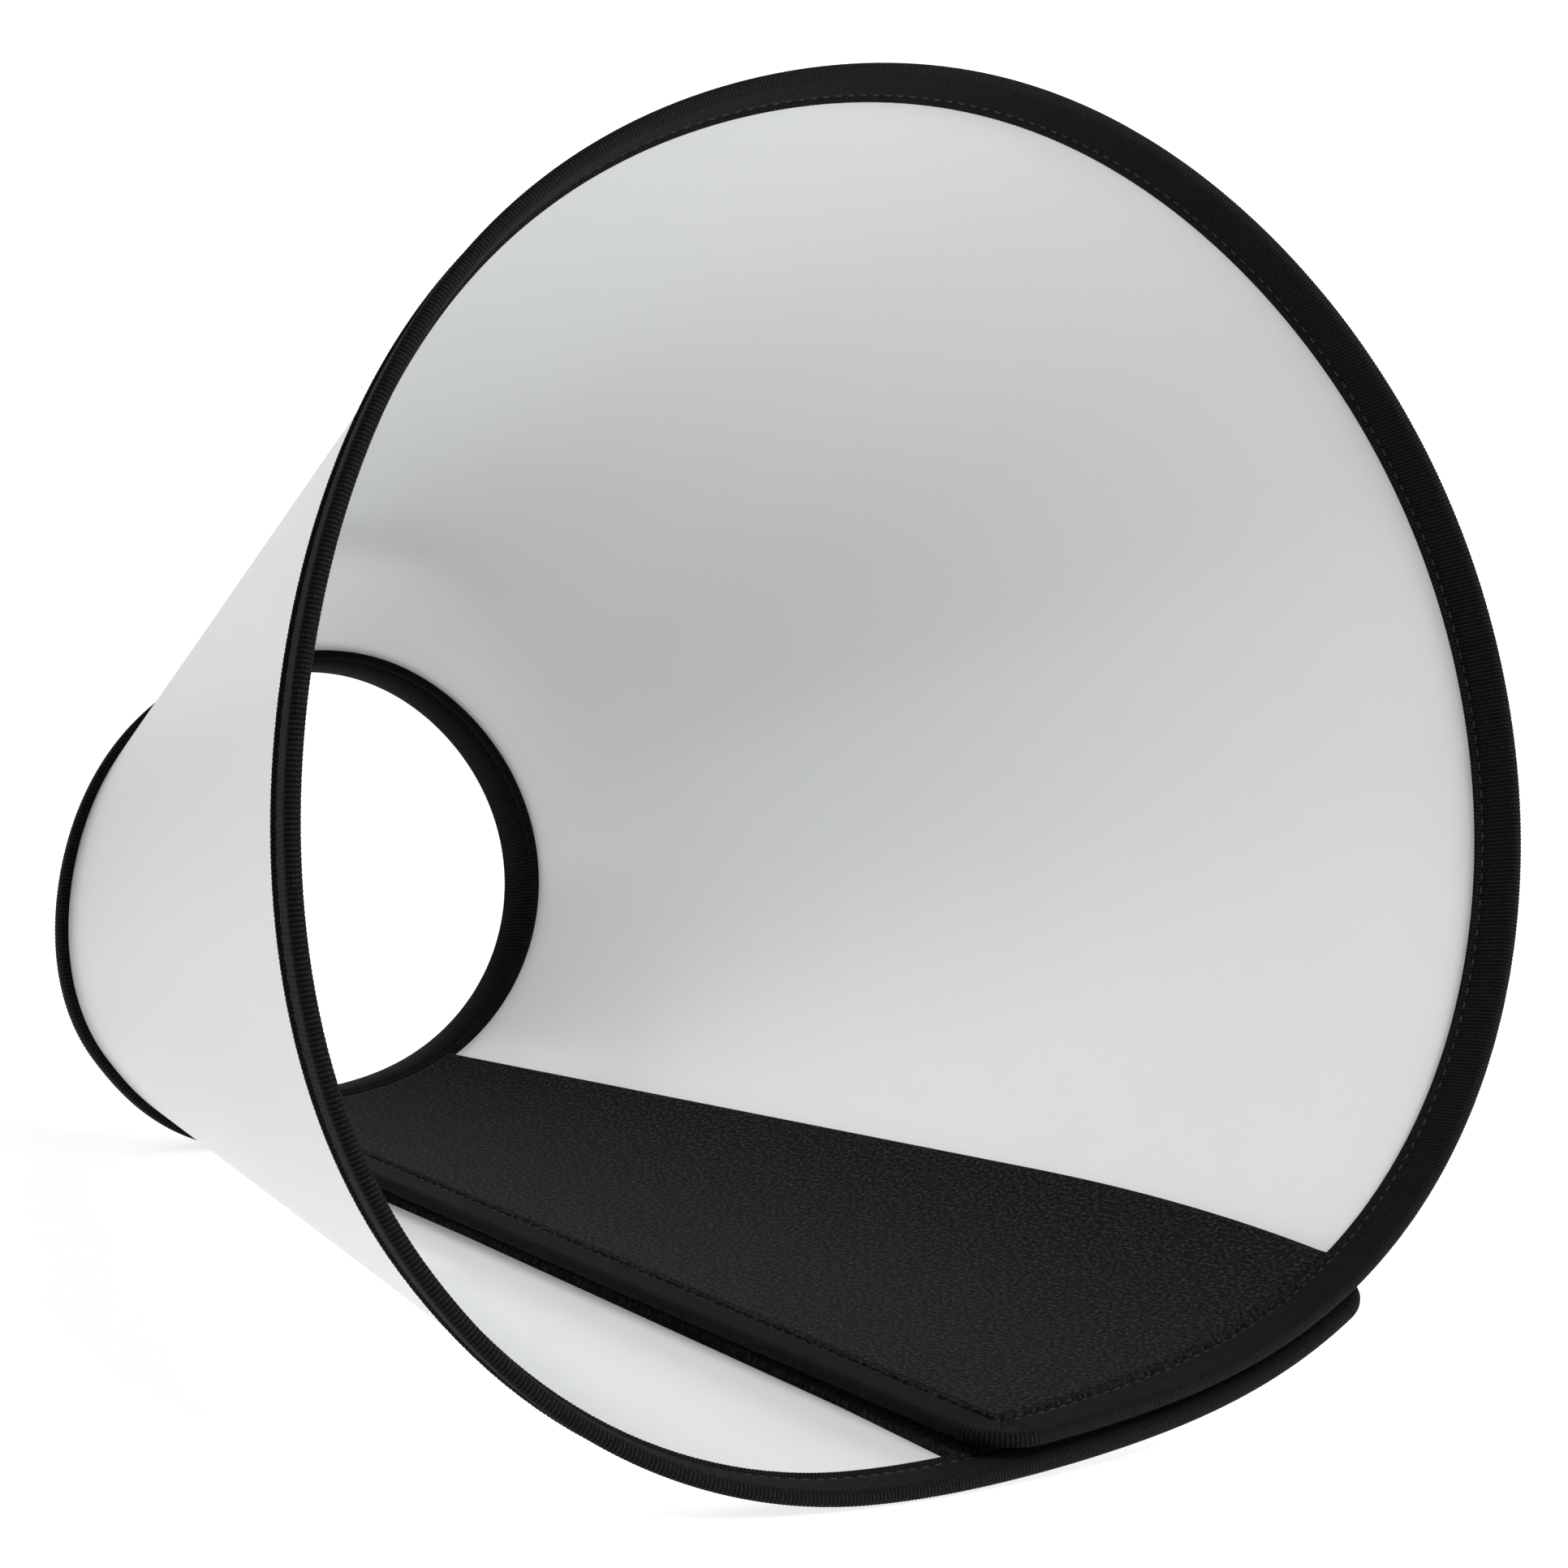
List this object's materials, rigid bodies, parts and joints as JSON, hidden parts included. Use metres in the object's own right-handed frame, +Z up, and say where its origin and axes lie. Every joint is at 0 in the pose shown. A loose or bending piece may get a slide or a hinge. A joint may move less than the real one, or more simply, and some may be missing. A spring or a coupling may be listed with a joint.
{
  "type": "pet recovery cone",
  "caption": "Wrap-around pet recovery cone: a curved plastic sheet with bound edges and a hook-and-loop lap closure, lying on its side.",
  "frame": {"origin": "centre of the bounding box at floor level", "axes": "+Z up from the floor it lies on; the wide opening faces -Y and the neck opening faces +Y"},
  "size_m": [0.2918, 0.2774, 0.2405],
  "materials": {
    "sheet": "satin, slightly frosted",
    "binding": "ribbed woven tape",
    "facing": "brushed loop felt",
    "loop": "brushed loop felt",
    "hook": "moulded nylon hooks"
  },
  "bodies": {
    "floor_panel": {"floor_panel_hook": "hook", "floor_panel_neck_binding": "binding", "floor_panel_rim_binding": "binding", "floor_panel_sheet": "sheet"},
    "inner_flap": {"inner_flap_end_binding": "binding", "inner_flap_facing": "facing", "inner_flap_loop": "loop", "inner_flap_neck_binding": "binding", "inner_flap_rim_binding": "binding", "inner_flap_sheet": "sheet"},
    "outer_flap": {"outer_flap_hook": "hook", "outer_flap_neck_binding": "binding", "outer_flap_rim_binding": "binding", "outer_flap_sheet": "sheet"},
    "outer_flap_tip": {"outer_flap_tip_end_binding": "binding", "outer_flap_tip_hook": "hook", "outer_flap_tip_neck_binding": "binding", "outer_flap_tip_rim_binding": "binding", "outer_flap_tip_sheet": "sheet"},
    "wall_1": {"wall_1_neck_binding": "binding", "wall_1_rim_binding": "binding", "wall_1_sheet": "sheet"},
    "wall_2": {"wall_2_neck_binding": "binding", "wall_2_rim_binding": "binding", "wall_2_sheet": "sheet"},
    "wall_3": {"wall_3_neck_binding": "binding", "wall_3_rim_binding": "binding", "wall_3_sheet": "sheet"},
    "wall_4": {"wall_4_neck_binding": "binding", "wall_4_rim_binding": "binding", "wall_4_sheet": "sheet"},
    "wall_5": {"wall_5_neck_binding": "binding", "wall_5_rim_binding": "binding", "wall_5_sheet": "sheet"},
    "wall_6": {"wall_6_neck_binding": "binding", "wall_6_rim_binding": "binding", "wall_6_sheet": "sheet"}
  },
  "joints": [
    {"name": "unroll", "type": "hinge", "parent": "floor_panel", "child": "wall_1", "pos_m": [-0.05955, -0.00209, 0.0056], "axis": [-0.1842, -0.9828, 0.013], "range_deg": [0, 54]},
    {"name": "bend_wall_2", "type": "hinge", "parent": "wall_1", "child": "wall_2", "pos_m": [-0.10433, 0.01441, 0.06904], "axis": [-0.3295, -0.9212, 0.2069], "range_deg": [0, 54]},
    {"name": "bend_wall_3", "type": "hinge", "parent": "wall_2", "child": "wall_3", "pos_m": [-0.08051, 0.02894, 0.14032], "axis": [-0.2499, -0.8657, 0.4337], "range_deg": [0, 43.2]},
    {"name": "bend_wall_4", "type": "hinge", "parent": "wall_3", "child": "wall_4", "pos_m": [-0.01763, 0.03459, 0.17298], "axis": [-0.0475, -0.8431, 0.5356], "range_deg": [0, 19.5]},
    {"name": "bend_wall_5", "type": "hinge", "parent": "wall_4", "child": "wall_5", "pos_m": [0.05204, 0.03362, 0.16157], "axis": [0.1756, -0.8479, 0.5002], "range_deg": [0, 8.7]},
    {"name": "bend_wall_6", "type": "hinge", "parent": "wall_5", "child": "wall_6", "pos_m": [0.10123, 0.0233, 0.10243], "axis": [0.3357, -0.8881, 0.3139], "range_deg": [0, 32.4]},
    {"name": "bend_inner_flap", "type": "hinge", "parent": "wall_6", "child": "inner_flap", "pos_m": [0.07522, 0.00281, 0.03166], "axis": [0.2546, -0.963, 0.0881], "range_deg": [0, 30.3]},
    {"name": "bend_outer_flap", "type": "hinge", "parent": "floor_panel", "child": "outer_flap", "pos_m": [0.01163, -0.00654, 0.00231], "axis": [-0.0451, 0.9989, -0.0086], "range_deg": [0, 9.2]},
    {"name": "peel", "type": "hinge", "parent": "outer_flap", "child": "outer_flap_tip", "pos_m": [0.03377, -0.00502, 0.00618], "axis": [-0.1161, 0.993, -0.0209], "range_deg": [0, 60]}
  ],
  "couplings": [
    {"joint": "bend_wall_2", "follows": "unroll", "ratio": 1},
    {"joint": "bend_wall_3", "follows": "unroll", "ratio": 0.8},
    {"joint": "bend_wall_4", "follows": "unroll", "ratio": 0.36},
    {"joint": "bend_wall_5", "follows": "unroll", "ratio": 0.16},
    {"joint": "bend_wall_6", "follows": "unroll", "ratio": 0.6},
    {"joint": "bend_inner_flap", "follows": "unroll", "ratio": 0.56},
    {"joint": "bend_outer_flap", "follows": "unroll", "ratio": 0.17}
  ]
}
